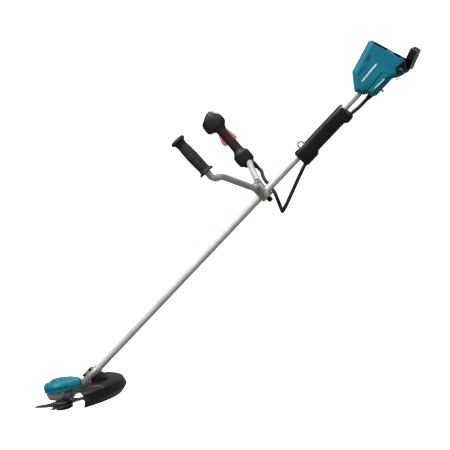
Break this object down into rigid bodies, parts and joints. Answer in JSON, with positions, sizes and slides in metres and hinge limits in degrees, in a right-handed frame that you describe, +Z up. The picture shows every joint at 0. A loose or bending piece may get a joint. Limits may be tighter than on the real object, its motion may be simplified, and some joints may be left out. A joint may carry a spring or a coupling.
{
  "type": "battery brush cutter",
  "caption": "Shaft brush cutter with a front motor and toothed blade under a curved guard, a U handlebar, a harness eye, and a rear housing with battery bays open to the back.",
  "frame": {"origin": "centre of the harness eye that the tool hangs from", "axes": "+X from the cutting head towards the battery end, +Y to the operator's right, +Z up as the tool hangs from its harness with the main tube at 47 degrees"},
  "size_m": [1.348, 0.5709, 1.3045],
  "materials": {
    "teal_housing": "satin moulded plastic",
    "black_plastic": "fine-textured moulded plastic",
    "black_rubber": "matt rubber",
    "red_plastic": "satin moulded plastic",
    "tube_metal": "satin anodised",
    "bar_metal": "satin painted",
    "cast_aluminium": "as cast, lightly blasted",
    "blade_steel": "dark hardened steel with ground edges",
    "bright_steel": "bright turned steel",
    "dark_steel": "black oxide steel",
    "copper": "wound copper on a steel core",
    "circuit_board": "potted circuit board",
    "grey_panel": "satin printed panel without marks"
  },
  "bodies": {
    "root": {"battery_housing_left": "teal_housing", "battery_housing_right": "teal_housing", "battery_terminal_lower": "black_plastic", "battery_terminal_upper": "black_plastic", "blade_guard": "black_plastic", "clamp_base": "cast_aluminium", "clamp_bolt_1": "dark_steel", "clamp_bolt_2": "dark_steel", "clamp_bolt_3": "dark_steel", "clamp_bolt_4": "dark_steel", "clamp_cap": "cast_aluminium", "clamp_middle": "cast_aluminium", "control_cable": "black_rubber", "controller": "circuit_board", "guard_bolt_left": "dark_steel", "guard_bolt_right": "dark_steel", "guard_bracket": "black_plastic", "hanger_bolt": "dark_steel", "harness_hanger": "dark_steel", "housing_gland": "black_rubber", "lower_bearing": "bright_steel", "main_tube": "tube_metal", "motor_base": "cast_aluminium", "motor_cap": "teal_housing", "motor_lead": "black_rubber", "neck_bolt_front": "dark_steel", "neck_bolt_rear": "dark_steel", "rear_guard": "black_plastic", "sleeve_left": "black_plastic", "sleeve_right": "black_plastic", "stator": "copper", "upper_bearing": "bright_steel"},
    "cutting_set": {"spindle": "bright_steel", "rotor": "dark_steel", "blade_flange": "bright_steel", "blade": "blade_steel", "clamp_washer": "dark_steel", "support_cup": "black_plastic", "blade_nut": "bright_steel"},
    "handlebar_assembly": {"handlebar": "bar_metal", "left_grip": "black_rubber", "control_grip_left": "black_plastic", "control_grip_right": "black_plastic", "trigger_pin": "bright_steel", "lever_pin": "bright_steel", "trigger_spring": "bright_steel", "lever_spring": "bright_steel", "main_switch": "black_plastic", "display_panel": "grey_panel", "cable_gland": "black_rubber", "bar_clip": "black_plastic"},
    "throttle_trigger_body": {"throttle_trigger": "red_plastic"},
    "lock_off_lever_body": {"lock_off_lever": "red_plastic"},
    "power_button_body": {"power_button": "red_plastic"},
    "reverse_button_body": {"reverse_button": "black_plastic"},
    "clamp_knob_body": {"clamp_knob": "black_plastic"}
  },
  "joints": [
    {"name": "blade_spin", "type": "hinge", "parent": "root", "child": "cutting_set", "pos_m": [-0.84771, 0, -0.92959], "axis": [-0.2079, 0, 0.9781], "continuous": true},
    {"name": "handlebar_tilt", "type": "hinge", "parent": "root", "child": "handlebar_assembly", "pos_m": [-0.14995, 0, -0.14321], "axis": [0, 1, 0], "range_deg": [-20, 20], "deforming": ["control_cable"]},
    {"name": "throttle_press", "type": "hinge", "parent": "handlebar_assembly", "child": "throttle_trigger_body", "pos_m": [-0.33906, 0.25939, 0.00978], "axis": [-0.0779, -0.9943, 0.0727], "range_deg": [0, 12], "stiffness_Nm_per_rad": 0.3, "springref_deg": -11.46},
    {"name": "lock_off_press", "type": "hinge", "parent": "handlebar_assembly", "child": "lock_off_lever_body", "pos_m": [-0.32702, 0.25938, 0.02252], "axis": [0.0779, 0.9943, -0.0727], "range_deg": [0, 9], "stiffness_Nm_per_rad": 0.3, "springref_deg": -11.46},
    {"name": "power_press", "type": "slide", "parent": "handlebar_assembly", "child": "power_button_body", "axis": [-0.2785, -0.0483, -0.9592], "range_m": [0, 0.0015], "stiffness_N_per_m": 200, "springref_m": -0.001},
    {"name": "reverse_press", "type": "slide", "parent": "handlebar_assembly", "child": "reverse_button_body", "axis": [-0.2785, -0.0483, -0.9592], "range_m": [0, 0.0015], "stiffness_N_per_m": 200, "springref_m": -0.001},
    {"name": "clamp_knob_turn", "type": "hinge", "parent": "root", "child": "clamp_knob_body", "pos_m": [-0.10534, 0, -0.18481], "axis": [-0.7314, 0, 0.682], "continuous": true}
  ]
}
